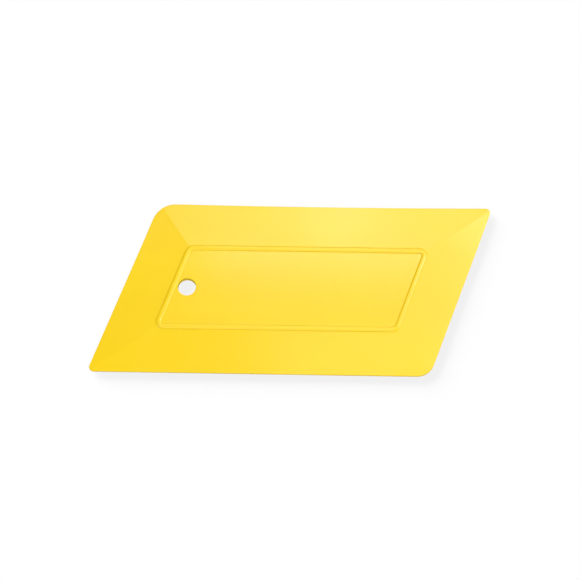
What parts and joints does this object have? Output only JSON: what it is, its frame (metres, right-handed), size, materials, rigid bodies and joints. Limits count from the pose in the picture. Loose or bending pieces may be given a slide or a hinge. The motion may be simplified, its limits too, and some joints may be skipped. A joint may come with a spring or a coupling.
{
  "type": "squeegee applicator",
  "caption": "Flat parallelogram squeegee card for laying vinyl film, with tapered blade edges, a ribbed middle panel and a hanging hole.",
  "frame": {"origin": "middle of the card's outline, at the crest of the back face's rib, on which the card lies", "axes": "+X along the long working edges, towards the end away from the hanging hole; +Y across the card, towards the side that leans over to +X; +Z out of the front face"},
  "size_m": [0.1768, 0.0782, 0.0044],
  "materials": {
    "yellow_plastic": "satin, as moulded in flexible bright yellow plastic"
  },
  "bodies": {
    "root": {"squeegee_card": "yellow_plastic"}
  },
  "joints": []
}
